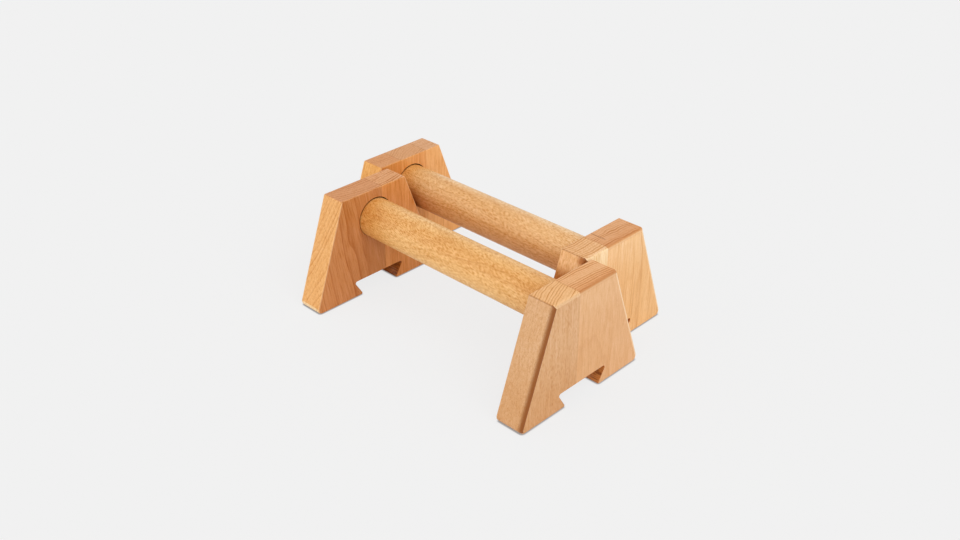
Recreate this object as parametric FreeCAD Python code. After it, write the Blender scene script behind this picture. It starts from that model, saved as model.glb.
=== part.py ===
import FreeCAD, Part
import math
import os

# A pair of low wooden parallette bars, nested the way they are stored.
# Each bar is a round grip glued into blind sockets in two feet.
# Each foot is a trapezoid sawn from a panel of upright staves, with a dovetail notch under it.
# X runs along the grips, Y across them from the front bar to the rear bar, Z up from the floor.
# The origin is on the floor, at the middle of the pair. All lengths are in millimetres.

# Grip
GRIP_DIAMETER = 40.0
GRIP_CLEAR_LENGTH = 239.0
GRIP_AXIS_HEIGHT = 79.0
GRIP_END_CHAMFER = 1.5

# Foot
FOOT_BASE_WIDTH = 161.5
FOOT_TOP_WIDTH = 81.0
FOOT_HEIGHT = 109.5
FOOT_THICKNESS = 28.5
TOE_RADIUS = 5.0
SHOULDER_RADIUS = 1.2

# Outer face's routed edge, along the slopes and the top, and the sanded edge everywhere else
ROUTED_ROUND = 3.2
SANDED_ROUND = 1.2

# Dovetail notch under the foot
NOTCH_MOUTH_WIDTH = 43.0
NOTCH_CEILING_WIDTH = 64.0
NOTCH_DEPTH = 17.0
NOTCH_CORNER_RADIUS = 2.0
NOTCH_TIP_RADIUS = 1.5

# Socket for the grip's end, which lies low in it
SOCKET_DEPTH = 20.0
SOCKET_RADIAL_GAP = 0.65
SOCKET_RISE = 0.55

# Nesting of the two bars
FOOT_TO_FOOT_GAP = 2.5
FOOT_TO_GRIP_GAP = 3.7

# Room that a cutter runs past the wood
CUT_OVERRUN = 2.0

# Glue seams of each foot, near to far, as shares of the notch mouth that every seam ends in
SEAM_SHARES = {
    "front_left": (0.225,),
    "front_right": (-0.195,),
    "rear_left": (-0.322, 0.488),
    "rear_right": (-0.244,),
}

# Names of a foot's staves, near to far, by how many there are
STAVE_NAMES = {2: ("near", "far"), 3: ("near", "middle", "far")}

GRIP_RADIUS = GRIP_DIAMETER / 2
SOCKET_RADIUS = GRIP_RADIUS + SOCKET_RADIAL_GAP
GRIP_LENGTH = GRIP_CLEAR_LENGTH + 2 * SOCKET_DEPTH

# The rear bar stands along X by a foot's thickness and across Y until its foot nears the other grip
SLOPE_RUN = (FOOT_BASE_WIDTH - FOOT_TOP_WIDTH) / 2
SLOPE_COSINE = FOOT_HEIGHT / math.hypot(FOOT_HEIGHT, SLOPE_RUN)
HALF_WIDTH_AT_GRIP = FOOT_BASE_WIDTH / 2 - SLOPE_RUN * GRIP_AXIS_HEIGHT / FOOT_HEIGHT
BAR_STAGGER = FOOT_THICKNESS + FOOT_TO_FOOT_GAP
BAR_SPACING = HALF_WIDTH_AT_GRIP + (GRIP_RADIUS + FOOT_TO_GRIP_GAP) / SLOPE_COSINE
BAR_OFFSETS = {
    "front": FreeCAD.Vector(BAR_STAGGER / 2, -BAR_SPACING / 2, 0),
    "rear": FreeCAD.Vector(-BAR_STAGGER / 2, BAR_SPACING / 2, 0),
}

ORIGIN = FreeCAD.Vector(0, 0, 0)
X_AXIS = FreeCAD.Vector(1, 0, 0)
Z_AXIS = FreeCAD.Vector(0, 0, 1)
HALF_TURN = math.degrees(math.pi)


def corner_arc(before, corner, after, radius):
    """The arc of that radius which rounds a corner, as its start, middle and end points."""
    to_before = (before - corner).normalize()
    to_after = (after - corner).normalize()
    half_angle = to_before.getAngle(to_after) / 2
    tangent = radius / math.tan(half_angle)
    bisector = (to_before + to_after).normalize()
    reach = radius / math.sin(half_angle) - radius
    return corner + to_before * tangent, corner + bisector * reach, corner + to_after * tangent


def rounded_outline(corners):
    """A closed wire through (point, radius) corners, straight between them and with arcs at rounded ones."""
    stretches = []
    for index, (point, radius) in enumerate(corners):
        before = corners[index - 1][0]
        after = corners[(index + 1) % len(corners)][0]
        stretches.append(corner_arc(before, point, after, radius) if radius else (point,))
    edges = []
    for index, stretch in enumerate(stretches):
        if len(stretch) > 1:
            edges.append(Part.Arc(*stretch).toShape())
        following = stretches[(index + 1) % len(stretches)][0]
        if not stretch[-1].isEqual(following, Part.Precision.confusion()):
            edges.append(Part.LineSegment(stretch[-1], following).toShape())
    return Part.Wire(edges)


def prism(corners, start, length):
    """The solid of an outline of (y, z, radius) corners, drawn out along X from start."""
    placed = [(FreeCAD.Vector(start, y, z), radius) for y, z, radius in corners]
    return Part.Face(rounded_outline(placed)).extrude(X_AXIS * length)


def edges_at(shape, x):
    """The edges of a shape that lie in the plane square to X at that place."""
    near = Part.Precision.confusion()
    return [edge for edge in shape.Edges if all(abs(v.X - x) < near for v in edge.Vertexes)]


def round_over_cutter(start, end, into_wood, radius):
    """The cutter that rounds one straight edge of a face, run past both of the edge's ends.

    The edge runs from start to end with the wood on its left, seen from +X. into_wood points from the face
    into the wood, along X.
    """
    along = (end - start).normalize()
    inward = X_AXIS.cross(along)
    run_out = radius + CUT_OVERRUN
    section = [
        (-CUT_OVERRUN, -CUT_OVERRUN, 0),
        (radius, -CUT_OVERRUN, 0),
        (radius, 0, 0),
        (0, 0, radius),
        (0, radius, 0),
        (-CUT_OVERRUN, radius, 0),
    ]
    first = start - along * run_out
    placed = [(first + inward * u + into_wood * w, bend) for u, w, bend in section]
    return Part.Face(rounded_outline(placed)).extrude(end - start + along * (2 * run_out))


def notch_cutter():
    """The dovetail notch, wider at its ceiling than at its mouth, with rounded tips beside its mouth."""
    mouth = NOTCH_MOUTH_WIDTH / 2
    ceiling = NOTCH_CEILING_WIDTH / 2
    tip_angle = math.atan2(NOTCH_DEPTH, ceiling - mouth)
    flare = mouth + NOTCH_TIP_RADIUS / math.tan(tip_angle / 2)
    half = [
        (flare, -CUT_OVERRUN, 0),
        (flare, 0, 0),
        (mouth, 0, NOTCH_TIP_RADIUS),
        (ceiling, NOTCH_DEPTH, NOTCH_CORNER_RADIUS),
    ]
    mirrored = [(-y, z, radius) for y, z, radius in reversed(half)]
    return prism(half + mirrored, -CUT_OVERRUN, FOOT_THICKNESS + 2 * CUT_OVERRUN)


def socket_cutter():
    """The blind socket bored into the inner face, which lies at X zero."""
    mouth = FreeCAD.Vector(-CUT_OVERRUN, 0, GRIP_AXIS_HEIGHT + SOCKET_RISE)
    return Part.makeCylinder(SOCKET_RADIUS, CUT_OVERRUN + SOCKET_DEPTH, mouth, X_AXIS)


def foot_blank():
    """A foot before it is split, with its inner face at X zero and its outer face towards +X."""
    toe = FOOT_BASE_WIDTH / 2
    shoulder = FOOT_TOP_WIDTH / 2
    outline = [
        (-toe, 0, TOE_RADIUS),
        (toe, 0, TOE_RADIUS),
        (shoulder, FOOT_HEIGHT, SHOULDER_RADIUS),
        (-shoulder, FOOT_HEIGHT, SHOULDER_RADIUS),
    ]
    outer_rounds = (SANDED_ROUND, ROUTED_ROUND, ROUTED_ROUND, ROUTED_ROUND)
    inner_rounds = (SANDED_ROUND,) * len(outline)
    cutters = [notch_cutter(), socket_cutter()]
    faces = ((0, X_AXIS, inner_rounds), (FOOT_THICKNESS, -X_AXIS, outer_rounds))
    for x, into_wood, rounds in faces:
        corners = [FreeCAD.Vector(x, y, z) for y, z, _ in outline]
        for start, end, radius in zip(corners, corners[1:] + corners[:1], rounds):
            cutters.append(round_over_cutter(start, end, into_wood, radius))
    return prism(outline, 0, FOOT_THICKNESS).cut(cutters)


def foot_staves(blank, seams):
    """The staves of a foot, split at the glue seams, near to far."""
    edge = FOOT_BASE_WIDTH / 2 + CUT_OVERRUN
    bounds = (-edge, *seams, edge)
    staves = []
    for low, high in zip(bounds, bounds[1:]):
        corner = FreeCAD.Vector(-FOOT_THICKNESS - CUT_OVERRUN, low, -CUT_OVERRUN)
        size = (2 * (FOOT_THICKNESS + CUT_OVERRUN), high - low, FOOT_HEIGHT + 2 * CUT_OVERRUN)
        staves.append(blank.common(Part.makeBox(*size, corner)))
    return staves


def grip():
    """The round grip, centred on X zero, with its hidden ends eased to enter the sockets."""
    start = FreeCAD.Vector(-GRIP_LENGTH / 2, 0, GRIP_AXIS_HEIGHT)
    dowel = Part.makeCylinder(GRIP_RADIUS, GRIP_LENGTH, start, X_AXIS)
    ends = edges_at(dowel, -GRIP_LENGTH / 2) + edges_at(dowel, GRIP_LENGTH / 2)
    return dowel.makeChamfer(GRIP_END_CHAMFER, ends)


def bar_pieces(bar):
    """The named pieces of one bar, placed in the pair."""
    pieces = {f"{bar}_grip": grip()}
    right_blank = foot_blank()
    left_blank = right_blank.copy()
    left_blank.rotate(ORIGIN, Z_AXIS, HALF_TURN)
    blanks = {"left": (left_blank, -GRIP_CLEAR_LENGTH / 2), "right": (right_blank, GRIP_CLEAR_LENGTH / 2)}
    for side, (blank, inner_face) in blanks.items():
        seams = [share * NOTCH_MOUTH_WIDTH for share in SEAM_SHARES[f"{bar}_{side}"]]
        staves = foot_staves(blank, seams)
        for place, stave in zip(STAVE_NAMES[len(staves)], staves):
            stave.translate(X_AXIS * inner_face)
            pieces[f"{bar}_{side}_foot_{place}_stave"] = stave
    for piece in pieces.values():
        piece.translate(BAR_OFFSETS[bar])
    return pieces


os.makedirs("parts", exist_ok=True)
for bar in BAR_OFFSETS:
    for node, shape in bar_pieces(bar).items():
        shape.exportStep(f"parts/{node}.step")
        print(f"{node}: {len(shape.Solids)} solid, {shape.Volume:.0f} mm3, valid {shape.isValid()}")
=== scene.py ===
"""Looks of a nested pair of wooden parallette bars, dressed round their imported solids.

The frame is the solids' own: X runs along the grips, Y from the front bar to the rear bar, and Z up from
the floor. Meshes and shaders are in metres, and the boards' own measures are in millimetres.
"""
import logging
import math
from collections.abc import Callable, Mapping, Sequence
from dataclasses import dataclass, field
from enum import Enum

import bpy
from mathutils import Matrix, Vector


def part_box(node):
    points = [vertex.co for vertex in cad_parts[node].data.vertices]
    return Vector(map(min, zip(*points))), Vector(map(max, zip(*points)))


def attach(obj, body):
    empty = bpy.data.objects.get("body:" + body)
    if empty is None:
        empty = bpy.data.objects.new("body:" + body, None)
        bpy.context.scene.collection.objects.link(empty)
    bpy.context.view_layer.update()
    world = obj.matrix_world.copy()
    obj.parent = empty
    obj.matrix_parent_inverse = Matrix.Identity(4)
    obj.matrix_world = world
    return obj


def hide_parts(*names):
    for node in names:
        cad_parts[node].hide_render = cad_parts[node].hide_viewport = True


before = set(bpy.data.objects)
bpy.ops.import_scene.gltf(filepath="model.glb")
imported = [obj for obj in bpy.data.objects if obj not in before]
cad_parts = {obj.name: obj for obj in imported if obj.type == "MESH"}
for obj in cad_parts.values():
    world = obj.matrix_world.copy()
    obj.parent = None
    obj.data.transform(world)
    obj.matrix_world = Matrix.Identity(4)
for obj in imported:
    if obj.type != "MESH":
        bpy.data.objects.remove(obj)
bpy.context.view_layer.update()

MM = 0.001
LOG = logging.getLogger("parallettes")

Point = tuple[float, float]
Tint = tuple[float, float, float]
Colour = tuple[float, float, float, float]


def linear(code: str) -> Colour:
    """Turn a written sRGB colour into the linear colour that a shader takes.

    Args:
        code: The colour as six hexadecimal digits.

    Returns:
        The linear red, green, blue and an alpha of one.
    """
    channels = []
    for start in (0, 2, 4):
        level = int(code[start:start + 2], 16) / 255
        channels.append(level / 12.92 if level <= 0.04045 else ((level + 0.055) / 1.055) ** 2.4)
    return channels[0], channels[1], channels[2], 1.0


def grey(level: float) -> Colour:
    """Write an even grey as a linear colour."""
    return level, level, level, 1.0


def direction(azimuth: float, elevation: float) -> Vector:
    """Point from the bars towards a place round them.

    Args:
        azimuth: Degrees from the front, anticlockwise as seen from above.
        elevation: Degrees up from the floor.

    Returns:
        The direction, of length one.
    """
    turn, lift = math.radians(azimuth), math.radians(elevation)
    return Vector((math.sin(turn) * math.cos(lift), -math.cos(turn) * math.cos(lift), math.sin(lift)))


def show(name: str, data: bpy.types.ID) -> bpy.types.Object:
    """Put a mesh, a lamp or a camera into the scene.

    Args:
        name: The object's name.
        data: What it shows.

    Returns:
        The object, at the origin.
    """
    shown = bpy.data.objects.new(name, data)
    bpy.context.scene.collection.objects.link(shown)
    return shown


def settled(piece: bpy.types.Object) -> bpy.types.Mesh:
    """Make a plain mesh of a piece as its modifiers leave it."""
    evaluated = piece.evaluated_get(bpy.context.evaluated_depsgraph_get())
    return bpy.data.meshes.new_from_object(evaluated)


class Bar(Enum):
    """The two bars of the pair."""

    FRONT = "front"
    REAR = "rear"


class Side(Enum):
    """The two feet of a bar, by the way along X that their outer faces look."""

    LEFT = -1
    RIGHT = 1


class Place(Enum):
    """Where a stave stands in its foot, seen from the front."""

    NEAR = "near"
    MIDDLE = "middle"
    FAR = "far"


class Axis(Enum):
    """The axes of the frame."""

    X = 0
    Y = 1
    Z = 2


class Grain(Enum):
    """Which way the wood grew in a piece: the axis along it and the two across it."""

    UPRIGHT = (2, 0, 1)
    LENGTHWISE = (0, 1, 2)


class Stretch(Enum):
    """What one stretch of a stave's outline is."""

    SLOPE = "slope"
    SHOULDER = "shoulder"
    TOP = "top"
    SOLE = "sole"
    FLANK = "flank"
    CEILING = "ceiling"
    SEAM = "seam"
    SOCKET = "socket"


class Mask(Enum):
    """The shares that a stave's mesh carries for its finish."""

    ROUTED_SLOPE = "routed_slope"
    ROUTED_TOP = "routed_top"
    SANDED = "sanded"
    SHOULDER = "shoulder"
    SAWN = "sawn"
    BORED = "bored"


def operator(operation: str, swap: bool = False) -> Callable[["Value", "Link"], "Value"]:
    """Make the method of one operator.

    Args:
        operation: The Math node's operation.
        swap: Whether it is the reflected form, in which the value comes second.

    Returns:
        The method.
    """
    def run(value: "Value", other: "Link") -> "Value":
        """Run the operator's Math node."""
        operands = {0: other, 1: value} if swap else {0: value, 1: other}
        return value.graph.add("ShaderNodeMath", {"operation": operation}, operands)

    return run


class Value:
    """A node's output that takes part in Python expressions."""

    __add__, __radd__ = operator("ADD"), operator("ADD", swap=True)
    __sub__, __rsub__ = operator("SUBTRACT"), operator("SUBTRACT", swap=True)
    __mul__, __rmul__ = operator("MULTIPLY"), operator("MULTIPLY", swap=True)
    __truediv__, __rtruediv__ = operator("DIVIDE"), operator("DIVIDE", swap=True)

    def __init__(self, graph: "Graph", socket: bpy.types.NodeSocket) -> None:
        """Keep the output and the graph that it belongs to."""
        self.graph = graph
        self.socket = socket

    def maths(self, operation: str, *others: "Link") -> "Value":
        """Run a Math node that has no operator."""
        return self.graph.add("ShaderNodeMath", {"operation": operation}, dict(enumerate((self, *others))))

    def __abs__(self) -> "Value":
        """Drop the sign."""
        return self.maths("ABSOLUTE")

    def rise(self, low: float, high: float) -> "Value":
        """Ease from zero at one level to one at another.

        Args:
            low: The level that gives zero.
            high: The level that gives one; it may be the smaller of the two.

        Returns:
            The eased share.
        """
        eased = {"interpolation_type": "SMOOTHSTEP"}
        limits = {1: min(low, high), 2: max(low, high), 3: float(low > high), 4: float(low < high)}
        return self.graph.add("ShaderNodeMapRange", eased, {0: self, **limits})


Link = Value | float | int | bool | Sequence[float]


class Graph:
    """A node tree under construction."""

    NOISE_ROUGHNESS = 0.55

    def __init__(self, tree: bpy.types.NodeTree) -> None:
        """Start from an empty tree."""
        self.tree = tree
        tree.nodes.clear()

    def node(self, kind: str, settings: Mapping[str, object] | None = None,
             inputs: Mapping[int | str, Link] | None = None) -> bpy.types.Node:
        """Add one node.

        Args:
            kind: The node's type.
            settings: Its own settings, which are set first.
            inputs: The values or links of its input sockets, by name or number.

        Returns:
            The node.
        """
        node = self.tree.nodes.new(kind)
        for name, setting in (settings or {}).items():
            setattr(node, name, setting)
        for key, source in (inputs or {}).items():
            if isinstance(source, Value):
                self.tree.links.new(source.socket, node.inputs[key])
            else:
                node.inputs[key].default_value = source
        return node

    def add(self, kind: str, settings: Mapping[str, object] | None = None,
            inputs: Mapping[int | str, Link] | None = None, output: int | str = 0) -> Value:
        """Add one node and take one of its outputs.

        Args:
            kind: The node's type.
            settings: Its own settings.
            inputs: The values or links of its input sockets.
            output: The output to take, by name or number.

        Returns:
            That output.
        """
        return Value(self, self.node(kind, settings, inputs).outputs[output])

    def vector(self, operation: str, *operands: Link) -> Value:
        """Run one Vector Math node."""
        return self.add("ShaderNodeVectorMath", {"operation": operation}, dict(enumerate(operands)))

    def mix(self, share: Link, start: Link, end: Link, blend: str = "MIX") -> Value:
        """Mix two colours.

        Args:
            share: How much of the second colour there is.
            start: The first colour.
            end: The second colour.
            blend: The way of mixing.

        Returns:
            The mixed colour.
        """
        settings = {"data_type": "RGBA", "blend_type": blend}
        return self.add("ShaderNodeMix", settings, {0: share, 6: start, 7: end}, output=2)

    def noise(self, place: Value, detail: float = 2.0, output: str = "Fac") -> Value:
        """Sample soft noise whose features are about one unit of the given place.

        Args:
            place: Where to sample.
            detail: How many finer layers are added.
            output: The node's output to take.

        Returns:
            The noise, centred on one half.
        """
        inputs = {"Vector": place, "Scale": 1.0, "Detail": detail, "Roughness": self.NOISE_ROUGHNESS}
        return self.add("ShaderNodeTexNoise", None, inputs, output)


@dataclass(frozen=True)
class Tones:
    """The colours of a board on its slope, on its broad faces and on its end grain.

    They were matched surface by surface, so beside the wood's tone they hold painted light and painted
    shade for the way each surface faces.
    """

    slope: str
    face: str
    end: str


@dataclass(frozen=True)
class Edge:
    """The colour of a routed edge, how much of it, and where it comes in towards the face.

    The rim highlight is a painted highlight: a pale line where the round meets the face.
    """

    colour: str
    share: float
    start: float
    full: float
    rim: float = 0.0


# a dark brown band along the routed slope edge
SCORCHED = Edge("88480a", 0.94, 0.06, 0.9)
RUDDY = Edge("b5733f", 0.6, 0.3, 0.7, rim=0.5)
WARM = Edge("c58450", 0.55, 0.3, 0.7, rim=0.55)
# a pale routed edge: wear with a painted highlight on the round
WORN = Edge("fbdcb2", 0.6, 0.4, 0.75)
SOFT = Edge("f3cfa0", 0.35, 0.2, 1.0)


@dataclass(frozen=True)
class Ramp:
    """A share that comes in along an axis.

    Its ends are in millimetres from the middle of the bar on the floor, or from the middle of the grip.
    """

    axis: Axis
    start: float
    full: float


@dataclass(frozen=True)
class Shade:
    """A tint of a part of a board, where all its ramps have come in.

    Most of them are painted light and painted shade; a few are marks in the wood.
    """

    tint: Tint
    ramps: tuple[Ramp, ...]


@dataclass(frozen=True)
class Board:
    """How one board of beech looks, and where in the log it was sawn.

    The pith is given across the grain from the middle of the bar on the floor, or of the grip, and leans
    with the way along it. The pith, the ring pitch and the waver are in millimetres.
    """

    tones: Tones
    pith: Point
    ring_pitch: float
    lean: Point = (0.0, 0.0)
    ring_face: float = 0.35
    ring_end: float = 0.7
    ring_blur: float = 0.2
    waver: float = 1.2
    fleck: float = 0.15
    streak: float = 0.4
    fibre: float = 0.8
    lines: float = 0.1
    seed: float = 0.0
    slope_edge: Edge | None = None
    top_edge: Edge | None = None
    shoulder: float = 0.0
    shades: tuple[Shade, ...] = ()
    grain: Grain = Grain.UPRIGHT


@dataclass(frozen=True)
class Finish:
    """The oiled surface that every board has; the tints multiply the board's own colour."""

    ring: Tint = (0.68, 0.46, 0.14)
    fleck: Tint = (0.70, 0.44, 0.10)
    pore: Tint = (0.84, 0.72, 0.50)
    dark_streak: Tint = (0.91, 0.83, 0.68)
    light_streak: Tint = (1.06, 1.12, 1.26)
    dark_fibre: Tint = (0.82, 0.68, 0.44)
    light_fibre: Tint = (1.09, 1.20, 1.50)
    glue: Tint = (0.68, 0.52, 0.28)
    # sawn end grain in the notch, darkened further with painted shade
    sawn: Tint = (0.74, 0.48, 0.26)
    burn: Tint = (0.46, 0.35, 0.25)
    arris: Tint = (0.66, 0.56, 0.46)
    # glue and painted shade inside the sockets, seen in the gap round each grip
    hollow: Tint = (0.40, 0.24, 0.12)
    # pale colour of the sanded edges, with a painted highlight on them
    sanded: str = "f3cd9d"
    sanded_share: float = 0.4
    roughness: float = 0.46
    end_roughness: float = 0.12
    raised_gloss: float = 0.08
    specular: float = 0.2
    coat: float = 0.2
    coat_roughness: float = 0.15
    bump_strength: float = 0.12
    bump_depth: float = 0.1 * MM


@dataclass(frozen=True)
class Strand:
    """The size in millimetres of a feature of the grain, and what tells its pattern from others."""

    along: float
    across: float
    shift: float
    detail: float = 2.0


STREAKS = Strand(90, 6, 5.0, detail=3.0)
FIBRES = Strand(22, 1.3, 8.0)
GROWTH_LINES = Strand(140, 1.7, 6.0, detail=1.0)
HATCH = Strand(4.5, 0.7, 2.5, detail=0.0)
FLECK_PATCHES = Strand(28, 8, 3.0)
FLECKS = Strand(5.2, 0.58, 1.0)
PORES = Strand(3, 0.6, 4.0)
RING_WAVER = Strand(60, 16, 0.0, detail=1.0)
STAVE_SWAY = Strand(90, 45, 21.0, detail=1.0)
DOWEL_SWAY = Strand(75, 60, 21.0, detail=1.0)


@dataclass
class Wood:
    """Makes the solid wood of one board, in the place where the board stands.

    The middle is that of the bar on the floor, or of the grip. A constant that is a pair of numbers gives
    the levels between which a noise, a year's growth or a surface's turn comes in.
    """

    name: str
    board: Board
    finish: Finish
    middle: Vector

    SWAY = STAVE_SWAY
    SWAY_REACH = 1.5
    NOISE_SPAN = 4
    DARK_SIDE, LIGHT_SIDE = (0.5, 0.28), (0.5, 0.72)
    CRESTS, TROUGHS = (0.5, 0.68), (0.5, 0.3)
    FACE_TURN, END_TURN = (0.6, 0.85), (0.6, 0.9)
    LATE_WOOD, LATE_STOP = (0.66, 0.88), (1.0, 0.94)
    EARLY_WOOD, EARLY_STOP = (0.15, 0.9), (1.0, 0.92)
    FAINTEST_RING = 0.3
    YEARS_ALIKE, YEAR_LEVELS = 0.3, (0.35, 0.65)
    LEAN_YEARS, GOOD_YEARS = 0.45, 1.1
    FACE_SOFT, FACE_LINE = 0.6, 0.5
    DASH_CELLS = "3D"
    DASH_CHANCE = (0.0, 0.6)
    FLECK_FILL, PORE_FILL = 0.45, 0.36
    HATCH_DARK, HATCH_LIGHT = 0.15, 0.35
    PATCHES, PATCHINESS = (0.34, 0.6), 0.15
    END_CALM = 0.8
    PORE_SHARE = 0.5
    FIBRE_RISE, LINE_DROP, DASH_DROP, PORE_DROP = 0.5, 0.2, 0.3, 0.4

    def __post_init__(self) -> None:
        """Start the material and find how the fibres run."""
        self.material = bpy.data.materials.new(self.name)
        self.material.use_nodes = True
        self.graph = Graph(self.material.node_tree)
        self.place = self.graph.add("ShaderNodeTexCoord", output="Object")
        self.sway = self.drift(self.SWAY, self.SWAY_REACH)
        self.fibre = self.swerved()

    def axes(self, vector: Value) -> tuple[Value, Value, Value]:
        """Take a vector apart along X, Y and Z."""
        parts = self.graph.node("ShaderNodeSeparateXYZ", None, {0: vector})
        return tuple(Value(self.graph, socket) for socket in parts.outputs)

    def tinted(self, share: Link, colour: Value, tint: Tint) -> Value:
        """Multiply a share of a colour by a tint."""
        return self.graph.mix(share, colour, (*tint, 1.0), "MULTIPLY")

    def stretched(self, place: Value, strand: Strand) -> Value:
        """Give a place in units of a feature of the grain.

        Args:
            place: The place.
            strand: The feature.

        Returns:
            The scaled place.
        """
        scale = [1 / (strand.across * MM)] * 3
        scale[self.board.grain.value[0]] = 1 / (strand.along * MM)
        offset = [self.board.seed + strand.shift] * 3
        return self.graph.vector("MULTIPLY_ADD", place, scale, offset)

    def noise(self, strand: Strand) -> Value:
        """Sample soft noise along the fibres."""
        return self.graph.noise(self.stretched(self.fibre, strand), strand.detail)

    def drift(self, strand: Strand, reach: float) -> Value:
        """Draw a slow sideways drift of the grain.

        Args:
            strand: How long along the grain it takes to turn, and how far across it keeps together.
            reach: How far it goes, in millimetres.

        Returns:
            The drift as a vector across the grain.
        """
        graph = self.graph
        wander = graph.noise(self.stretched(self.place, strand), strand.detail, "Color")
        wander = graph.vector("SUBTRACT", wander, (0.5, 0.5, 0.5))
        scale = [self.NOISE_SPAN * reach * MM] * 3
        scale[self.board.grain.value[0]] = 0.0
        return graph.vector("MULTIPLY", wander, scale)

    def swerved(self) -> Value:
        """Follow the fibres as they lean and sway.

        Returns:
            The place along the fibres.
        """
        along, first, second = self.board.grain.value
        slope = [0.0] * 3
        slope[first], slope[second] = (-lean for lean in self.board.lean)
        straight = self.graph.vector("MULTIPLY_ADD", self.axes(self.place)[along], slope, self.place)
        return self.graph.vector("ADD", straight, self.sway)

    def ring_radius(self) -> Value:
        """Measure how far a spot is from the pith, with the growth's own waver.

        Returns:
            The distance in metres.
        """
        board = self.board
        bent = self.graph.vector("ADD", self.place, self.drift(RING_WAVER, board.waver))
        spots = self.axes(bent)
        along, first, second = board.grain.value
        offsets = []
        for axis, pith, lean in zip((first, second), board.pith, board.lean):
            offsets.append(spots[axis] - (self.middle[axis] + pith * MM) - spots[along] * lean)
        squares = offsets[0] * offsets[0] + offsets[1] * offsets[1]
        return squares.maths("SQRT")

    def rings(self) -> tuple[Value, Value]:
        """Draw the growth rings, whose strength differs from year to year and comes in runs of good years.

        Returns:
            The sharp late-wood lines, and the soft tone that leads up to them.
        """
        graph, seed = self.graph, self.board.seed
        count = self.ring_radius() / (self.board.ring_pitch * MM)
        index = count.maths("FLOOR")
        phase = count - index
        year = graph.add("ShaderNodeTexWhiteNoise", {"noise_dimensions": "1D"}, {"W": index + seed})
        run = {"W": count * self.YEARS_ALIKE + seed, "Scale": 1.0, "Detail": 1.0}
        good = graph.add("ShaderNodeTexNoise", {"noise_dimensions": "1D"}, run)
        strength = self.FAINTEST_RING + (1 - self.FAINTEST_RING) * year
        strength = strength * (self.LEAN_YEARS + self.GOOD_YEARS * good.rise(*self.YEAR_LEVELS))
        line = phase.rise(*self.LATE_WOOD) * phase.rise(*self.LATE_STOP)
        soft = phase.rise(*self.EARLY_WOOD) * phase.rise(*self.EARLY_STOP)
        return line * strength, soft * strength

    def dashes(self, strand: Strand, fill: float) -> Value:
        """Draw short dark dashes along the fibres, each by itself.

        Args:
            strand: The room that a dash has along and across the fibres.
            fill: The share of the room that it fills.

        Returns:
            The share of dash.
        """
        settings = {"voronoi_dimensions": self.DASH_CELLS}
        inputs = {"Vector": self.stretched(self.laid_out(), strand), "Scale": 1.0}
        cells = self.graph.node("ShaderNodeTexVoronoi", settings, inputs)
        distance, chance = (Value(self.graph, cells.outputs[name]) for name in ("Distance", "Color"))
        return distance.rise(fill, fill / 2) * chance.rise(*self.DASH_CHANCE)

    def laid_out(self) -> Value:
        """Give the place that the dashes are laid out on."""
        return self.fibre

    def shaded(self, colour: Value) -> Value:
        """Tint parts of the board: mostly painted shade and painted light, and a few marks in the wood.

        Args:
            colour: The board's colour.

        Returns:
            The tinted colour.
        """
        spots = self.axes(self.place)
        for shade in self.board.shades:
            rises = []
            for ramp in shade.ramps:
                zero = self.middle[ramp.axis.value]
                rises.append(spots[ramp.axis.value].rise(zero + ramp.start * MM, zero + ramp.full * MM))
            colour = self.tinted(math.prod(rises[1:], start=rises[0]), colour, shade.tint)
        return colour

    def mask(self, mask: Mask) -> Value:
        """Read a share that the mesh carries."""
        return self.graph.add("ShaderNodeAttribute", {"attribute_name": mask.value}, output="Fac")

    def tone(self) -> tuple[Value, Value]:
        """Lay down the board's colours by the way its surface faces, painting light and shade with the
        wood's tone.

        Returns:
            The colour, and the share of end grain.
        """
        graph, tones = self.graph, self.board.tones
        parts = self.axes(graph.add("ShaderNodeNewGeometry", output="Normal"))
        face = abs(parts[self.board.grain.value[1]]).rise(*self.FACE_TURN)
        end = abs(parts[self.board.grain.value[0]]).rise(*self.END_TURN)
        colour = graph.mix(face, linear(tones.slope), linear(tones.face))
        return graph.mix(end, colour, linear(tones.end)), end

    def figured(self) -> tuple[Value, Value, Value]:
        """Draw the wood's figure: streaks, fibres, rings, dashes and pores.

        Returns:
            The colour, the surface's height and the share of end grain.
        """
        board, finish = self.board, self.finish
        colour, end = self.tone()
        line, soft = self.rings()
        figure = end * ((1 - board.ring_blur) * line + board.ring_blur * soft) * board.ring_end
        figure = figure + (1 - end) * (self.FACE_SOFT * soft + self.FACE_LINE * line) * board.ring_face
        broad, fine, hatch = (self.noise(strand) for strand in (STREAKS, FIBRES, HATCH))
        thin = self.noise(GROWTH_LINES).rise(*self.CRESTS)
        patch = self.noise(FLECK_PATCHES).rise(*self.PATCHES)
        dash = hatch.rise(*self.CRESTS) * self.HATCH_DARK + self.dashes(FLECKS, self.FLECK_FILL)
        dash = dash * (1 - self.PATCHINESS + self.PATCHINESS * patch) * (1 - self.END_CALM * end)
        pore = self.dashes(PORES, self.PORE_FILL)
        for share, tint in (
                (broad.rise(*self.DARK_SIDE) * board.streak, finish.dark_streak),
                (broad.rise(*self.LIGHT_SIDE) * board.streak, finish.light_streak),
                (fine.rise(*self.DARK_SIDE) * board.fibre, finish.dark_fibre),
                (fine.rise(*self.LIGHT_SIDE) * board.fibre, finish.light_fibre),
                (thin * (1 - end) * board.lines, finish.ring),
                (figure, finish.ring),
                (hatch.rise(*self.TROUGHS) * board.fleck * self.HATCH_LIGHT, finish.light_fibre),
                (dash * board.fleck, finish.fleck),
                (pore * self.PORE_SHARE, finish.pore)):
            colour = self.tinted(share, colour, tint)
        height = fine * self.FIBRE_RISE - line * self.LINE_DROP
        return colour, height - dash * self.DASH_DROP - pore * self.PORE_DROP, end

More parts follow.
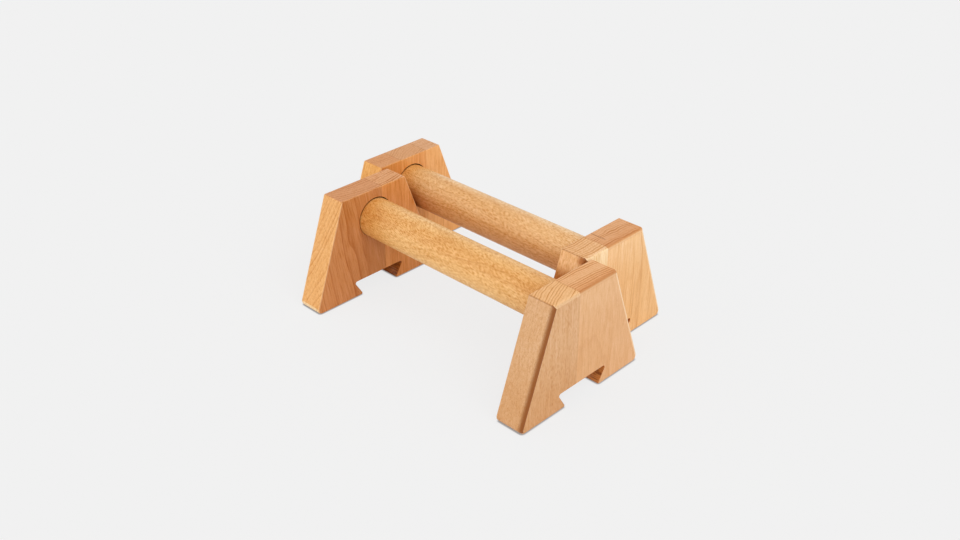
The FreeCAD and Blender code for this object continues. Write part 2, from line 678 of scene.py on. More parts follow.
    def build(self) -> bpy.types.Material:
        """Build the shader.

        Returns:
            The finished material.
        """
        graph, finish = self.graph, self.finish
        colour, height, end = self.figured()
        colour = self.worked(self.shaded(colour), end)
        bump = {"Strength": finish.bump_strength, "Distance": finish.bump_depth, "Height": height}
        surface = graph.add("ShaderNodeBsdfPrincipled", None, {
            "Base Color": colour,
            "Roughness": finish.roughness + finish.end_roughness * end - finish.raised_gloss * height,
            "Normal": graph.add("ShaderNodeBump", None, bump),
            "Specular IOR Level": finish.specular,
            "Coat Weight": finish.coat,
            "Coat Roughness": finish.coat_roughness})
        graph.node("ShaderNodeOutputMaterial", None, {"Surface": surface})
        return self.material

    def worked(self, colour: Value, end: Value) -> Value:
        """Leave the wood as it is."""
        return colour


@dataclass
class StaveWood(Wood):
    """The wood of an upright stave, with the marks of sawing, routing and gluing at its seams across Y,
    and with painted shade in its notch and socket and painted highlights along its edges.
    """

    seams: Sequence[float]

    GLUE_REACH = (0.5 * MM, 0.2 * MM)
    GLUE_FACE, GLUE_END = 0.15, 0.5
    RIM = (0.85, 1.0)
    SAW_MARK = (14, 1.1, 1.1)
    SAW_LEVELS = (0.42, 0.66)

    def worked(self, colour: Value, end: Value) -> Value:
        """Add what the tools and the glue have left, with painted shade in the notch and the socket
        and painted highlights along the edges.

        Args:
            colour: The plain wood's colour.
            end: The share of end grain, where the glue shows most.

        Returns:
            The worked wood's colour.
        """
        graph, board, finish = self.graph, self.board, self.finish
        sanded = linear(finish.sanded)
        across = self.axes(self.place)[1]
        for seam in self.seams:
            near = abs(across - seam).rise(*self.GLUE_REACH)
            colour = self.tinted(near * (self.GLUE_FACE + self.GLUE_END * end), colour, finish.glue)
        # pale sanded inner edges: wear with a painted highlight
        colour = graph.mix(self.mask(Mask.SANDED) * finish.sanded_share, colour, sanded)
        for mask, edge in ((Mask.ROUTED_SLOPE, board.slope_edge), (Mask.ROUTED_TOP, board.top_edge)):
            if edge:
                share = self.mask(mask)
                routed = share.rise(edge.start, edge.full) * edge.share
                colour = graph.mix(routed, colour, linear(edge.colour))
                # a painted highlight: a pale line where the routed round meets the face
                colour = graph.mix(share.rise(*self.RIM) * edge.rim, colour, sanded)
        colour = self.tinted(self.mask(Mask.SHOULDER) * board.shoulder, colour, finish.arris)
        # the notch's flanks and ceiling: sawn end grain with painted shade, and saw marks
        sawn = self.mask(Mask.SAWN)
        scale = [1 / (size * MM) for size in self.SAW_MARK]
        marks = graph.noise(graph.vector("MULTIPLY", self.place, scale)).rise(*self.SAW_LEVELS)
        colour = self.tinted(sawn, colour, finish.sawn)
        colour = self.tinted(sawn * marks, colour, finish.burn)
        # glue and painted shade on the socket walls
        return self.tinted(self.mask(Mask.BORED), colour, finish.hollow)


@dataclass
class DowelWood(Wood):
    """The wood of a turned grip, darkened inside its sockets by glue and painted shade."""

    clear_length: float
    radius: float

    SWAY = DOWEL_SWAY
    SWAY_REACH = 4
    DASH_CELLS = "2D"
    SOCKET_SHADE = (-0.3 * MM, 0.5 * MM)

    def laid_out(self) -> Value:
        """Unroll the turned surface: along the grip, and round it from its top, askew as its fibres run.

        Returns:
            The place on the unrolled surface.
        """
        along, across, up = self.axes(self.place)
        turn = (across - self.middle.y).maths("ARCTAN2", up - self.middle.z)
        askew = turn * self.radius + self.axes(self.sway)[1] - along * self.board.lean[0]
        return self.graph.add("ShaderNodeCombineXYZ", None, {"X": along, "Y": askew})

    def worked(self, colour: Value, end: Value) -> Value:
        """Darken the wood inside the sockets with glue and painted shade.

        Args:
            colour: The plain wood's colour.
            end: The share of end grain; not used here.

        Returns:
            The turned wood's colour.
        """
        # glue and painted shade on the grip where it enters a socket
        start, full = (self.clear_length / 2 + reach for reach in self.SOCKET_SHADE)
        inside = abs(self.axes(self.place)[0] - self.middle.x).rise(start, full)
        return self.tinted(inside, colour, self.finish.hollow)


@dataclass(frozen=True)
class FootSizes:
    """The sizes of one foot."""

    base_width: float = 161.5 * MM
    top_width: float = 81 * MM
    height: float = 109.5 * MM
    thickness: float = 28.5 * MM
    toe_radius: float = 5 * MM
    shoulder_radius: float = 1.2 * MM
    notch_mouth: float = 43 * MM
    notch_ceiling: float = 64 * MM
    notch_depth: float = 17 * MM
    notch_corner: float = 2 * MM
    notch_tip: float = 1.5 * MM
    socket_depth: float = 20 * MM
    socket_gap: float = 0.65 * MM
    socket_rise: float = 0.55 * MM
    routed_round: float = 3.2 * MM
    routed_reach: float = 5.5 * MM
    sanded_round: float = 1.2 * MM
    crisp_round: float = 0.4 * MM
    least_radius: float = 0.2 * MM
    crisp_steps: int = 3
    sanded_steps: int = 5
    routed_steps: int = 10
    corner_steps: int = 8
    socket_steps: int = 40
    digits: int = 7

    def round_of(self, stretch: Stretch, outer: bool) -> float:
        """Say how a stretch is rounded where it meets a face.

        Args:
            stretch: The stretch of the outline.
            outer: Whether the face is the outer one.

        Returns:
            The radius.
        """
        if stretch in (Stretch.SLOPE, Stretch.SHOULDER, Stretch.TOP):
            return self.routed_round if outer else self.sanded_round
        return self.sanded_round if stretch is Stretch.SOLE else self.crisp_round

    def inset(self, stretch: Stretch, depth: float) -> float:
        """Say how far a stretch stands back at a depth from the inner face.

        Args:
            stretch: The stretch of the outline.
            depth: The depth from the inner face.

        Returns:
            The distance that the rounds take off there.
        """
        taken = 0.0
        for outer, distance in ((False, depth), (True, self.thickness - depth)):
            radius = self.round_of(stretch, outer)
            if distance < radius:
                taken = max(taken, radius - math.sqrt(max(radius ** 2 - (radius - distance) ** 2, 0.0)))
        return taken

    def depths(self) -> list[float]:
        """List the depths from the inner face that a stave's mesh has rings at.

        Returns:
            The depths, from the inner face to the outer one.
        """
        steps = {self.crisp_round: self.crisp_steps, self.sanded_round: self.sanded_steps,
                 self.routed_round: self.routed_steps}
        found = {self.socket_depth, self.thickness - self.routed_reach}
        for radius, count in steps.items():
            for step in range(count + 1):
                distance = radius * (1 - math.sin(math.pi / 2 * step / count))
                found.add(round(self.thickness - distance, self.digits))
                if radius < self.routed_round:
                    found.add(round(distance, self.digits))
        return sorted(found)

    def corner_arcs(self, depth: float) -> list[list[Point]]:
        """Round the corners of the whole foot's outline at a depth.

        The outline runs from the near shoulder down its slope, along the underside and up the far slope.

        Args:
            depth: The depth from the inner face.

        Returns:
            For each corner, the points of its arc.
        """
        base, top = self.base_width / 2, self.top_width / 2
        mouth, ceiling = self.notch_mouth / 2, self.notch_ceiling / 2
        half = [
            ((top, self.height), self.shoulder_radius, Stretch.SLOPE),
            ((base, 0.0), self.toe_radius, Stretch.SOLE),
            ((mouth, 0.0), self.notch_tip, Stretch.FLANK),
            ((ceiling, self.notch_depth), self.notch_corner, Stretch.CEILING),
        ]
        points = [Vector((-y, z)) for (y, z), _, _ in half]
        points += [Vector(spot) for spot, _, _ in reversed(half)]
        radii = [radius for _, radius, _ in half]
        radii += radii[::-1]
        after = [stretch for _, _, stretch in half]
        sides = after + after[-2::-1] + [Stretch.TOP]
        insets = [self.inset(side, depth) for side in sides]
        arcs = []
        for index, corner in enumerate(points):
            into = (corner - points[index - 1]).normalized()
            out = (points[(index + 1) % len(points)] - corner).normalized()
            turn = into.x * out.y - into.y * out.x
            before, behind = insets[index - 1], insets[index]
            moved = corner + (out * before - into * behind) / turn
            mean = (before + behind) / 2
            radius = max(radii[index] - math.copysign(mean, turn), self.least_radius)
            arcs.append(self.arc(moved, into, out, radius))
        return arcs

    def arc(self, corner: Vector, into: Vector, out: Vector, radius: float) -> list[Point]:
        """Round one corner.

        Args:
            corner: The sharp corner.
            into: The direction that the outline comes in.
            out: The direction that it goes on.
            radius: The corner's radius.

        Returns:
            The points of the arc.
        """
        turn = into.x * out.y - into.y * out.x
        angle = math.acos(max(-1.0, min(1.0, into.dot(out))))
        tangent = radius * math.tan(angle / 2)
        side = Vector((-into.y, into.x)) * math.copysign(radius, turn)
        start = corner - into * tangent
        centre = start + side
        points = []
        for step in range(self.corner_steps + 1):
            swing = math.copysign(angle * step / self.corner_steps, turn)
            points.append(tuple(centre + Matrix.Rotation(swing, 2) @ -side))
        return points


@dataclass
class Stave:
    """One upright stave of a foot, from a seam or a slope to a seam or a slope.

    The seams are its near and far one across Y from the bar's middle, or nothing where it ends in a slope.
    """

    sizes: FootSizes
    bar: Bar
    side: Side
    place: Place
    grip: "Dowel"
    seams: tuple[float | None, float | None]

    WHERE = {
        Mask.SANDED: (Stretch.SLOPE, Stretch.SHOULDER),
        Mask.ROUTED_SLOPE: (Stretch.SLOPE, Stretch.SHOULDER),
        Mask.ROUTED_TOP: (Stretch.TOP,),
        Mask.SHOULDER: (Stretch.SHOULDER,),
        Mask.SAWN: (Stretch.FLANK, Stretch.CEILING),
        Mask.BORED: (Stretch.SOCKET,),
    }

    @property
    def node(self) -> str:
        """Name the solid that it stands for."""
        return f"{self.bar.value}_{self.side.name.lower()}_foot_{self.place.value}_stave"

    @property
    def name(self) -> str:
        """Name the piece."""
        return f"{self.bar.value}_{self.side.name.lower()}_{self.place.value}_board"

    def bite(self, seam: float, bulge: int, cut: bool) -> list[Point]:
        """Run up a seam, round the socket where the seam crosses it.

        Args:
            seam: The seam's place across Y.
            bulge: The way across Y that the stave lies.
            cut: Whether the socket reaches this depth.

        Returns:
            The points between the seam's ends, from below upwards.
        """
        reach = self.grip.radius + self.sizes.socket_gap
        if abs(seam) >= reach:
            return []
        steps = self.sizes.socket_steps
        half = math.acos(bulge * seam / reach)
        centre = self.grip.height + self.sizes.socket_rise
        low = centre - reach * math.sin(half)
        points = []
        for step in range(steps + 1):
            swing = half * (2 * step / steps - 1)
            across = bulge * reach * math.cos(swing) if cut else seam
            up = centre + reach * math.sin(swing)
            points.append((across, up if cut else low + 2 * (centre - low) * step / steps))
        return points

    def ring(self, depth: float, cut: bool) -> list[tuple[Point, Stretch]]:
        """Outline the stave at one depth.

        Args:
            depth: The depth from the inner face.
            cut: Whether the socket reaches this depth.

        Returns:
            The points, each with the stretch that starts at it.
        """
        sizes = self.sizes
        arcs = sizes.corner_arcs(depth)
        corners = len(arcs)
        middle = sizes.corner_steps // 2
        kinds = [Stretch.SLOPE, Stretch.SOLE, Stretch.FLANK, Stretch.CEILING]
        kinds += [Stretch.FLANK, Stretch.SOLE, Stretch.SLOPE, Stretch.TOP]
        befores = [Stretch.SHOULDER, Stretch.SLOPE, Stretch.FLANK, Stretch.CEILING]
        befores += [Stretch.CEILING, Stretch.FLANK, Stretch.SOLE, Stretch.SHOULDER]
        top = sizes.height - sizes.inset(Stretch.TOP, depth)
        ceiling = sizes.notch_depth + sizes.inset(Stretch.CEILING, depth)
        outline: list[tuple[Point, Stretch]] = []
        for far, seam in enumerate(self.seams):
            if seam is None:
                for corner in range(far * corners // 2, (far + 1) * corners // 2):
                    turned = sizes.corner_steps if befores[corner] is Stretch.SHOULDER else middle
                    for step, point in enumerate(arcs[corner]):
                        outline.append((point, kinds[corner] if step >= turned else befores[corner]))
                continue
            bite = [(point, Stretch.SOCKET) for point in self.bite(seam, -1 if far else 1, cut)]
            if bite:
                last = -1 if far else 0
                bite[last] = (bite[last][0], Stretch.SEAM)
            upward = [((seam, ceiling), Stretch.SEAM), *bite, ((seam, top), Stretch.TOP)]
            if not far:
                upward = upward[::-1]
                upward[0] = (upward[0][0], Stretch.SEAM)
                upward[-1] = (upward[-1][0], Stretch.CEILING)
            outline.extend(upward)
        return outline

    def share(self, mask: Mask, stretch: Stretch, depth: float) -> float:
        """Say how much of an edge finish a spot has.

        Args:
            mask: The finish.
            stretch: The stretch that the spot lies on.
            depth: Its depth from the inner face.

        Returns:
            The share, from zero on the plain wood to one at the face.
        """
        sizes = self.sizes
        if stretch not in self.WHERE[mask]:
            return 0.0
        if mask is Mask.SANDED:
            return max(1 - depth / sizes.sanded_round, 0.0)
        if mask in (Mask.ROUTED_SLOPE, Mask.ROUTED_TOP):
            return max(1 - (sizes.thickness - depth) / sizes.routed_reach, 0.0)
        return 1.0

    def build(self) -> bpy.types.Object:
        """Build the stave's mesh in its place.

        Returns:
            The object, which lies at the origin.
        """
        sizes, side = self.sizes, self.side
        levels: list[tuple[float, bool]] = []
        for depth in sizes.depths():
            levels.append((depth, depth <= sizes.socket_depth))
            if depth == sizes.socket_depth and any(self.crosses(seam) for seam in self.seams):
                levels.append((depth, False))
        rings = [self.ring(depth, cut) for depth, cut in levels]
        inner_face = self.grip.middle.x + side.value * self.grip.clear_length / 2
        vertices = []
        for (depth, _), ring in zip(levels, rings):
            for (across, up), _ in ring:
                vertices.append((inner_face + side.value * depth, self.grip.middle.y + across, up))
        size = len(rings[0])
        faces = [list(range(size))[::-1], list(range(len(vertices) - size, len(vertices)))]
        shares: dict[Mask, list[float]] = {mask: [0.0] * (2 * size) for mask in Mask}
        if side is Side.LEFT:
            faces = [face[::-1] for face in faces]
        for level in range(len(levels) - 1):
            for index in range(size):
                following = (index + 1) % size
                low, high = level * size, (level + 1) * size
                face = [low + index, low + following, high + following, high + index]
                stretch = rings[level][index][1]
                near, far = levels[level][0], levels[level + 1][0]
                order = [near, near, far, far]
                if side is Side.LEFT:
                    face, order = face[::-1], order[::-1]
                faces.append(face)
                for mask in Mask:
                    shares[mask].extend(self.share(mask, stretch, depth) for depth in order)
        mesh = bpy.data.meshes.new(self.name)
        mesh.from_pydata(vertices, [], faces)
        for mask, values in shares.items():
            layer = mesh.attributes.new(mask.value, "FLOAT", "CORNER")
            layer.data.foreach_set("value", values)
        return finished(self.name, mesh)

    def crosses(self, seam: float | None) -> bool:
        """Say whether a seam runs through the socket."""
        return seam is not None and abs(seam) < self.grip.radius + self.sizes.socket_gap

    def dress(self, piece: bpy.types.Object, board: Board, finish: Finish) -> None:
        """Give the stave its wood.

        Args:
            piece: The stave's object.
            board: The board that it is sawn from.
            finish: The surface of the wood.
        """
        middle = Vector((self.grip.middle.x, self.grip.middle.y, 0.0))
        seams = [middle.y + seam for seam in self.seams if seam is not None]
        piece.data.materials.append(StaveWood(self.name, board, finish, middle, seams).build())


SMOOTH_ANGLE = math.radians(34)


def finished(name: str, mesh: bpy.types.Mesh) -> bpy.types.Object:
    """Shade a mesh smooth over its rounds and flat on its faces, and show it.

    Args:
        name: The piece's name.
        mesh: The mesh.

    Returns:
        The object.
    """
    mesh.validate()
    for polygon in mesh.polygons:
        polygon.use_smooth = True
    mesh.set_sharp_from_angle(angle=SMOOTH_ANGLE)
    piece = show(name, mesh)
    weighted = piece.modifiers.new("even_faces", "WEIGHTED_NORMAL")
    weighted.keep_sharp = True
    piece.data = settled(piece)
    piece.modifiers.clear()
    return piece


class DowelTree:
    """The Geometry Nodes tree that turns a dowel with eased ends."""

    INPUTS = {"Length": "NodeSocketFloat", "Radius": "NodeSocketFloat", "Ease": "NodeSocketFloat",
              "Centre": "NodeSocketVector", "Rings": "NodeSocketInt", "Sides": "NodeSocketInt",
              "Material": "NodeSocketMaterial"}

    def __init__(self) -> None:
        """Build the tree."""
        self.tree = bpy.data.node_groups.new("turned_dowel", "GeometryNodeTree")
        self.sockets: dict[str, str] = {}
        interface = self.tree.interface
        for name, kind in self.INPUTS.items():
            self.sockets[name] = interface.new_socket(name, in_out="INPUT", socket_type=kind).identifier
        interface.new_socket("Geometry", in_out="OUTPUT", socket_type="NodeSocketGeometry")
        graph = Graph(self.tree)
        entry = graph.node("NodeGroupInput")
        given = {name: Value(graph, entry.outputs[name]) for name in self.INPUTS}
        line = graph.add("GeometryNodeCurvePrimitiveLine", None, {"End": (1.0, 0.0, 0.0)})
        line = graph.add("GeometryNodeResampleCurve", None, {"Curve": line, "Count": given["Rings"]})
        share = graph.add("GeometryNodeSplineParameter", output="Factor")
        spread = share.rise(0.0, 1.0) - 0.5
        offset = graph.add("ShaderNodeCombineXYZ", None, {"X": spread * given["Length"]})
        spot = graph.vector("ADD", given["Centre"], offset)
        line = graph.add("GeometryNodeSetPosition", None, {"Geometry": line, "Position": spot})
        end = (0.5 - abs(spread)) * given["Length"] / given["Ease"]
        lack = (1.0 - end).maths("MAXIMUM", 0.0)
        taken = 1.0 - (1.0 - lack * lack).maths("SQRT")
        circle = graph.add("GeometryNodeCurvePrimitiveCircle", None,
                           {"Resolution": given["Sides"], "Radius": given["Radius"]})
        scale = 1.0 - taken * given["Ease"] / given["Radius"]
        dowel = graph.add("GeometryNodeCurveToMesh", None,
                          {"Curve": line, "Profile Curve": circle, "Scale": scale, "Fill Caps": True})
        dowel = graph.add("GeometryNodeRealizeInstances", None, {"Geometry": dowel})
        wood = {"Geometry": dowel, "Material": given["Material"]}
        dowel = graph.add("GeometryNodeSetMaterial", None, wood)
        graph.node("NodeGroupOutput", None, {"Geometry": dowel})

    def turn(self, name: str, values: Mapping[str, object]) -> bpy.types.Mesh:
        """Turn one dowel.

        Args:
            name: The piece's name.
            values: The tree's inputs by name.

        Returns:
            The plain mesh.
        """
        piece = show(name, bpy.data.meshes.new(name))
        modifier = piece.modifiers.new("turning", "NODES")
        modifier.node_group = self.tree
        for key, value in values.items():
            modifier[self.sockets[key]] = value
        mesh = settled(piece)
        bpy.data.objects.remove(piece)
        return mesh


@dataclass
class Dowel:
    """A bar's round grip."""

    bar: Bar
    sizes: FootSizes
    ease: float = 1.5 * MM
    rings: int = 160
    sides: int = 128

    def __post_init__(self) -> None:
        """Read the grip's place and size from its solid."""
        self.node = f"{self.bar.value}_grip"
        self.name = f"{self.bar.value}_dowel"
        low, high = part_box(self.node)
        self.middle = (low + high) / 2
        self.height = self.middle.z
        self.length = high.x - low.x
        self.radius = (high.z - low.z) / 2
        self.clear_length = self.length - 2 * self.sizes.socket_depth

    def build(self, tree: DowelTree, board: Board, finish: Finish) -> bpy.types.Object:
        """Turn the grip from its wood.

        Args:
            tree: The tree that turns dowels.
            board: The wood that it is turned from.
            finish: The surface of the wood.

        Returns:
            The object.
        """
        wood = DowelWood(self.name, board, finish, self.middle, self.clear_length, self.radius)
        mesh = tree.turn(self.name, {
            "Length": self.length, "Radius": self.radius, "Ease": self.ease, "Centre": self.middle,
            "Rings": self.rings, "Sides": self.sides, "Material": wood.build()})
        return finished(self.name, mesh)


@dataclass
class ParalletteBar:
    """One bar: a grip and two feet made of staves."""

    bar: Bar
    grip_board: Board
    staves: Mapping[tuple[Side, Place], Board]
    seams: Mapping[Side, Sequence[float]]
    sizes: FootSizes = field(default_factory=FootSizes)

    def build(self, tree: DowelTree, finish: Finish) -> None:
        """Build and dress the bar's pieces.

        Args:
            tree: The tree that turns dowels.
            finish: The surface of the wood.
        """
        body = f"{self.bar.value}_bar"
        grip = Dowel(self.bar, self.sizes)
        piece = grip.build(tree, self.grip_board, finish)
        hand_over(piece, body, grip.node)
        for side, seams in self.seams.items():
            limits = [None, *seams, None]
            places = [place for foot, place in self.staves if foot is side]
            for place, near, far in zip(places, limits, limits[1:]):
                stave = Stave(self.sizes, self.bar, side, place, grip, (near, far))
                piece = stave.build()
                stave.dress(piece, self.staves[side, place], finish)
                hand_over(piece, body, stave.node)


def hand_over(piece: bpy.types.Object, body: str, node: str) -> None:
    """Let a piece ride on its body in place of its solid.

    Args:
        piece: The piece.
        body: The body that carries it.
        node: The solid that it stands for.
    """
    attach(piece, body)
    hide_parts(node)
    LOG.info("%s: %d faces", piece.name, len(piece.data.polygons))


@dataclass(frozen=True)
class Viewpoint:
    """Where the photograph was taken from, measured from the front bar's middle on the floor."""

    eye: tuple[float, float, float] = (623.9 * MM, -609.8 * MM, 576.7 * MM)
    azimuth: float = 44.521
    elevation: float = 30.308
    roll: float = 0.264
    focal_pixels: float = 1092.2
    picture_width: float = 960.0
    sensor_width: float = 36.0


@dataclass(frozen=True)
class Lamp:
    """A broad, even light from one direction."""

    name: str
    azimuth: float
    elevation: float
    strength: float
    spread: float


@dataclass(frozen=True)
class Studio:
    """The pale studio round the bars."""

    backdrop: float = 0.8796
    sky: float = 0.66
    floor_bounce: float = 0.9
    shadow_share: float = 0.1
    contact_reach: float = 2.2 * MM
    contact_dark: Tint = (0.35, 0.33, 0.32)
    contact_levels: Point = (0.35, 1.0)
    contact_samples: int = 16
    floor_size: float = 12.0
    floor_drop: float = 0.05 * MM
    lamps: Sequence[Lamp] = (
        Lamp("key", 76.0, 42.0, 1.25, 55.0),
        Lamp("fill", -30.0, 5.0, 0.75, 80.0),
    )

    def build(self, view: Viewpoint, origin: Vector) -> None:
        """Build the whole studio.

        Args:
            view: The viewpoint of the photograph.
            origin: The front bar's middle on the floor.
        """
        bpy.context.scene.view_settings.view_transform = "Standard"
        self.world()
        self.floor()
        for lamp in self.lamps:
            self.light(lamp)
        self.camera(view, origin)

    def world(self) -> None:
        """Set the sky: an even light, and a plain backdrop where it is seen."""
        world = bpy.data.worlds.new("studio")
        world.use_nodes = True
        bpy.context.scene.world = world
        graph = Graph(world.node_tree)
        path = graph.node("ShaderNodeLightPath")
        seen = Value(graph, path.outputs["Is Camera Ray"])
        for other in ("Is Glossy Ray", "Is Transmission Ray"):
            seen = seen.maths("MAXIMUM", Value(graph, path.outputs[other]))
        level = self.sky + (self.backdrop - self.sky) * seen
        colour = graph.add("ShaderNodeCombineColor", None, {0: level, 1: level, 2: level})
        light = graph.add("ShaderNodeBackground", None, {"Color": colour, "Strength": 1.0})
        graph.node("ShaderNodeOutputWorld", None, {"Surface": light})

    def floor(self) -> None:
        """Lay the pale floor, whose shadows are kept faint, with a painted contact shadow by the feet."""
        half, level = self.floor_size / 2, -self.floor_drop
        mesh = bpy.data.meshes.new("studio_floor")
        corners = [(-half, -half, level), (half, -half, level), (half, half, level), (-half, half, level)]
        mesh.from_pydata(corners, [], [(0, 1, 2, 3)])
        material = bpy.data.materials.new("studio_floor")
        material.use_nodes = True
        graph = Graph(material.node_tree)
        seen = graph.add("ShaderNodeLightPath", output="Is Camera Ray")
        # painted contact shadow: ambient occlusion darkens the floor's glow next to the feet
        contact = (*(self.backdrop * dark for dark in self.contact_dark), 1.0)
        reach = {"Distance": self.contact_reach}
        open_share = graph.add("ShaderNodeAmbientOcclusion", {"samples": self.contact_samples}, reach, "AO")
        shaded = graph.mix(open_share.rise(*self.contact_levels), contact, grey(self.backdrop))
        glow = graph.add("ShaderNodeEmission", None, {"Color": shaded, "Strength": 1.0})
        matt = graph.add("ShaderNodeBsdfDiffuse", None, {"Color": grey(self.floor_bounce)})
        share = seen * (1 - self.shadow_share)
        surface = graph.add("ShaderNodeMixShader", None, {0: share, 1: matt, 2: glow})
        graph.node("ShaderNodeOutputMaterial", None, {"Surface": surface})
        mesh.materials.append(material)
        floor = show("studio_floor", mesh)

    def light(self, lamp: Lamp) -> None:
        """Hang one lamp.

        Args:
            lamp: Where it stands, how strong it is and how far it spreads.
        """
        data = bpy.data.lights.new(lamp.name, "SUN")
        data.energy = lamp.strength
        data.angle = math.radians(lamp.spread)
        towards = direction(lamp.azimuth, lamp.elevation)
        show(lamp.name, data).rotation_euler = towards.to_track_quat("Z", "Y").to_euler()

    def camera(self, view: Viewpoint, origin: Vector) -> None:
        """Set the camera where the photograph was taken from.

        Args:
            view: The viewpoint of the photograph.
            origin: The front bar's middle on the floor.
        """
        data = bpy.data.cameras.new("photographer")
        data.sensor_width = view.sensor_width
        data.lens = data.sensor_width * view.focal_pixels / view.picture_width
        turn = math.radians(view.azimuth)
        forward = -direction(view.azimuth, view.elevation)
        right = Vector((math.cos(turn), math.sin(turn), 0.0))
        level = Matrix((right, right.cross(forward), -forward)).transposed()
        rolled = level @ Matrix.Rotation(-math.radians(view.roll), 3, "Z")
        camera = show("photographer", data)
        camera.matrix_world = Matrix.Translation(origin + Vector(view.eye)) @ rolled.to_4x4()
        bpy.context.scene.camera = camera


FRONT_BAR = ParalletteBar(
    Bar.FRONT,
    grip_board=Board(
        Tones("f7c582", "f7c582", "e8a86c"), pith=(30, -55), ring_pitch=3.6,
        lean=(-0.28, -0.06), fleck=1.0, fibre=0.1, seed=3.1, grain=Grain.LENGTHWISE, shades=(
            # painted shade at the left end by the foot, deeper on the underside
            Shade((0.91, 0.80, 0.62), (Ramp(Axis.X, -55, -122),)),
            Shade((0.91, 0.84, 0.74), (Ramp(Axis.X, -55, -122), Ramp(Axis.Z, 18, 10))),
            # painted shade at the right end by the foot
            Shade((0.95, 0.88, 0.80), (Ramp(Axis.X, 70, 120),)),
            # painted shade along the upper front, where less light falls
            Shade((0.93, 0.86, 0.78), (Ramp(Axis.Z, 7, 13), Ramp(Axis.Y, -3, -9))),
            # painted bounce light from the floor on the underside
            Shade((1.05, 1.12, 1.20), (Ramp(Axis.Z, 5, -6),)),
            # painted sheen along the top towards the back
            Shade((1.04, 1.12, 1.25), (Ramp(Axis.Y, -2, 5),)))),
    staves={
        (Side.LEFT, Place.NEAR): Board(
            Tones("f0b36d", "c8854d", "d89763"), pith=(-224, 18), ring_pitch=4, ring_face=0.6,
            lean=(0.0, -0.15), ring_end=0.85, ring_blur=0.8, seed=1.3, slope_edge=WORN, shades=(
                # painted bounce light from the floor on the toe's round
                Shade((1.15, 1.65, 2.80), (Ramp(Axis.Z, 7, 5), Ramp(Axis.Y, -68, -72),
                                           Ramp(Axis.X, -119.6, -121))),)),
        (Side.LEFT, Place.FAR): Board(
            Tones("d29846", "dd9553", "e2a46f"), pith=(-290, 2), ring_pitch=3.4, ring_face=0.2,
            ring_end=0.95, ring_blur=0.65, streak=0.8, fibre=1.0, seed=9.7, slope_edge=SCORCHED),
        (Side.RIGHT, Place.NEAR): Board(
            Tones("e0af7e", "daaa7a", "f1bb80"), pith=(247, 17), ring_pitch=2.5, ring_face=0.12,
            ring_end=1.2, fleck=0.6, fibre=0.4, seed=4.4, slope_edge=SCORCHED, top_edge=SOFT,
            shoulder=0.8, shades=(
                # darker towards the bottom
                Shade((0.93, 0.86, 0.76), (Ramp(Axis.Z, 75, 10),)),)),
        (Side.RIGHT, Place.FAR): Board(
            Tones("efba81", "dfab78", "e8ac75"), pith=(367, 2), ring_pitch=2.5, ring_face=0.12,
            ring_end=1.4, ring_blur=0.35, fleck=0.12, fibre=0.45, lines=0.05,
            lean=(0.06, 0.0), waver=0.8, seed=6.2, slope_edge=WORN, top_edge=RUDDY, shades=(
                # painted light: paler towards the top
                Shade((1.06, 1.12, 1.20), (Ramp(Axis.Z, 60, 104),)),
                Shade((0.90, 0.77, 0.62), (Ramp(Axis.X, 133, 147), Ramp(Axis.Z, 105, 107))))),
    },
    seams={Side.LEFT: (9.675 * MM,), Side.RIGHT: (-8.385 * MM,)},
)

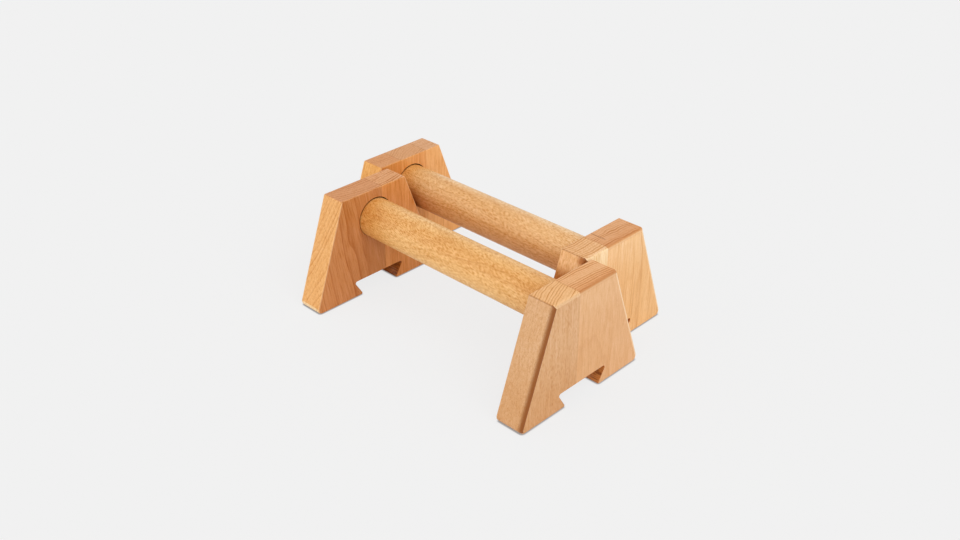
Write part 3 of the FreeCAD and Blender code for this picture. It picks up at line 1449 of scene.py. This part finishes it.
REAR_BAR = ParalletteBar(
    Bar.REAR,
    grip_board=Board(
        Tones("eebc82", "eebc82", "d89d66"), pith=(-20, -70), ring_pitch=3.8,
        lean=(-0.2, -0.04), fleck=0.85, fibre=0.1, seed=12.6, grain=Grain.LENGTHWISE, shades=(
            # painted shadow of the front-left foot on the lower left end
            Shade((0.52, 0.25, 0.06), (Ramp(Axis.X, -45, -122), Ramp(Axis.Z, 16, -4))),
            # painted shade and bounce colour at the left end by the foot
            Shade((0.93, 0.81, 0.55), (Ramp(Axis.X, -75, -118),)),
            # painted shade on the underside
            Shade((0.93, 0.88, 0.86), (Ramp(Axis.Z, 10, 2),)),
            # painted light on the upper right
            Shade((1.06, 1.12, 1.22), (Ramp(Axis.X, 0.0, 80), Ramp(Axis.Z, 8, 16))),
            # painted sheen along the top towards the back at the left end
            Shade((1.10, 1.25, 1.48), (Ramp(Axis.Y, -3, 5), Ramp(Axis.X, -118, -80))))),
    staves={
        (Side.LEFT, Place.NEAR): Board(
            Tones("f2b360", "e2974f", "da9962"), pith=(-224, -10), ring_pitch=3.2, ring_end=0.9,
            ring_blur=0.6, seed=2.9, slope_edge=WORN),
        (Side.LEFT, Place.MIDDLE): Board(
            Tones("e9b27c", "e9a45d", "dba06c"), pith=(-60, 40), ring_pitch=3, ring_blur=0.7, seed=15.2),
        (Side.LEFT, Place.FAR): Board(
            Tones("eeae70", "f2b26d", "dfa879"), pith=(-260, 30), ring_pitch=2.8, ring_face=0.2,
            ring_end=0.9, ring_blur=0.6, seed=7.7, slope_edge=SCORCHED),
        (Side.RIGHT, Place.NEAR): Board(
            Tones("f6c287", "f7ce93", "eeb881"), pith=(20, -22), ring_pitch=2.9, ring_face=0.15,
            ring_end=1.6, seed=8.8, slope_edge=SCORCHED, top_edge=SOFT, shoulder=0.8, shades=(
                # painted shade and bounce colour where the slope nearly meets the front grip
                Shade((0.62, 0.42, 0.25), (Ramp(Axis.Z, 99, 86), Ramp(Axis.Z, 10, 75),
                                           Ramp(Axis.Y, -38, -44), Ramp(Axis.X, 147, 143))),
                # painted light: the face paler towards the top
                Shade((1.04, 1.18, 1.45), (Ramp(Axis.Z, 72, 98), Ramp(Axis.X, 144, 147.5))),
                Shade((0.55, 0.34, 0.14), (Ramp(Axis.X, 137, 143), Ramp(Axis.Z, 101, 105),
                                           Ramp(Axis.Y, -40, -41))))),
        (Side.RIGHT, Place.FAR): Board(
            Tones("e7aa68", "eebb7f", "dfa16a"), pith=(334, 0.0), ring_pitch=2.8, ring_face=0.2,
            ring_end=1.0, ring_blur=0.7, fibre=0.4, lines=0.35, waver=1.6, seed=5.5, slope_edge=WORN,
            top_edge=WARM, shades=(
                # painted light: paler towards the top
                Shade((1.07, 1.15, 1.32), (Ramp(Axis.Z, 70, 104),)),
                Shade((0.93, 0.82, 0.68), (Ramp(Axis.X, 130, 146), Ramp(Axis.Z, 105, 107))),
                Shade((0.42, 0.32, 0.24), (Ramp(Axis.Y, -1.6, -1.3), Ramp(Axis.Y, -0.5, -0.8),
                                           Ramp(Axis.X, 138, 136.5), Ramp(Axis.Z, 104, 106))))),
    },
    seams={Side.LEFT: (-13.846 * MM, 20.984 * MM), Side.RIGHT: (-10.492 * MM,)},
)


def main() -> None:
    """Build the pair of bars and the studio."""
    logging.basicConfig(level=logging.INFO, format="%(message)s")
    tree = DowelTree()
    finish = Finish()
    for bar in (FRONT_BAR, REAR_BAR):
        bar.build(tree, finish)
    grip_low, grip_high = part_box("front_grip")
    middle = (grip_low + grip_high) / 2
    Studio().build(Viewpoint(), Vector((middle.x, middle.y, 0.0)))


if __name__ == "__main__":
    main()
